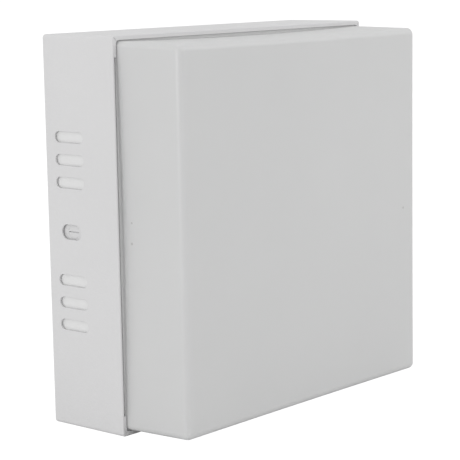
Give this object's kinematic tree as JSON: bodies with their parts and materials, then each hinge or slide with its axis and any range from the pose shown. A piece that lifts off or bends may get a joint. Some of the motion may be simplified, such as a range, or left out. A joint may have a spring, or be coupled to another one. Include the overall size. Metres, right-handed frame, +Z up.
{
  "type": "surface-mounted square ceiling light",
  "caption": "Square folded-steel ceiling light with side vent slots, an opal block diffuser clipped into its rim, LED strips, a driver and a slotted ceiling bracket.",
  "frame": {"origin": "centre of the ceiling face, on the bracket's back", "axes": "+Y towards the ceiling, so the light shines along -Y; +Z up as the light stands on its edge; +X across the two slotted walls"},
  "size_m": [0.17, 0.0765, 0.17],
  "materials": {
    "white_powder_coat": "fine powder coat, satin",
    "opal_acrylic": "opal, milky, softly glossy",
    "zinc_plate": "zinc plated fastener",
    "spring_steel": "bright spring steel",
    "aluminium_rivet": "plain aluminium",
    "white_solder_mask": "white solder mask on aluminium",
    "led_package": "white package with yellow phosphor",
    "white_wire": "white insulation",
    "white_film": "matt white film",
    "white_polycarbonate": "fine moulded texture",
    "green_circuit_board": "green solder mask",
    "ferrite": "dark sintered ferrite",
    "yellow_tape": "polyester tape",
    "capacitor_sleeve": "shrink sleeve",
    "film_capacitor_case": "moulded case",
    "black_package": "moulded package",
    "resistor_lacquer": "lacquered body",
    "terminal_nylon": "natural nylon",
    "brass": "nickel free brass",
    "black_nylon": "black nylon",
    "tinned_copper": "tinned copper",
    "brown_wire": "brown insulation",
    "blue_wire": "blue insulation",
    "green_yellow_wire": "green insulation with yellow stripe",
    "red_wire": "red insulation",
    "black_wire": "black insulation",
    "black_rubber": "black rubber"
  },
  "bodies": {
    "bracket": {"ceiling_bracket": "white_powder_coat", "bracket_earth_screw": "zinc_plate"},
    "left_lock_screw": {"left_lock_screw": "white_powder_coat"},
    "right_lock_screw": {"right_lock_screw": "white_powder_coat"},
    "housing": {"housing": "white_powder_coat", "tray_lugs": "white_powder_coat", "gear_tray": "white_powder_coat", "tray_screws": "zinc_plate", "led_boards": "white_solder_mask", "led_chips": "led_package", "board_screws": "zinc_plate", "board_links": "white_wire", "reflector_sheet": "white_film", "diffuser_clips": "spring_steel", "clip_rivets": "aluminium_rivet", "driver_base": "white_polycarbonate", "driver_cover": "white_polycarbonate", "driver_screws": "zinc_plate", "driver_board": "green_circuit_board", "transformer_core": "ferrite", "transformer_bobbin": "yellow_tape", "driver_capacitors": "capacitor_sleeve", "film_capacitor": "film_capacitor_case", "driver_choke": "ferrite", "driver_rectifier": "black_package", "driver_fuse": "resistor_lacquer", "terminal_block": "terminal_nylon", "terminal_sleeves": "brass", "terminal_screws": "zinc_plate", "terminal_block_screw": "zinc_plate", "cable_clamp": "black_nylon", "clamp_screws": "zinc_plate", "earth_stud": "zinc_plate", "earth_washer": "zinc_plate", "earth_nut": "zinc_plate", "earth_ring": "tinned_copper", "live_lead": "brown_wire", "neutral_lead": "blue_wire", "earth_lead": "green_yellow_wire", "positive_lead": "red_wire", "negative_lead": "black_wire", "lead_grommet": "black_rubber"},
    "diffuser": {"diffuser": "opal_acrylic"}
  },
  "joints": [
    {"name": "housing_slide", "type": "slide", "parent": "bracket", "child": "housing", "axis": [0, -1, 0], "range_m": [0, 0.045]},
    {"name": "diffuser_pull", "type": "slide", "parent": "housing", "child": "diffuser", "axis": [0, -1, 0], "range_m": [0, 0.05]},
    {"name": "left_lock", "type": "slide", "parent": "bracket", "child": "left_lock_screw", "axis": [-1, 0, 0], "range_m": [0, 0.0014]},
    {"name": "right_lock", "type": "slide", "parent": "bracket", "child": "right_lock_screw", "axis": [1, 0, 0], "range_m": [0, 0.0014]}
  ]
}
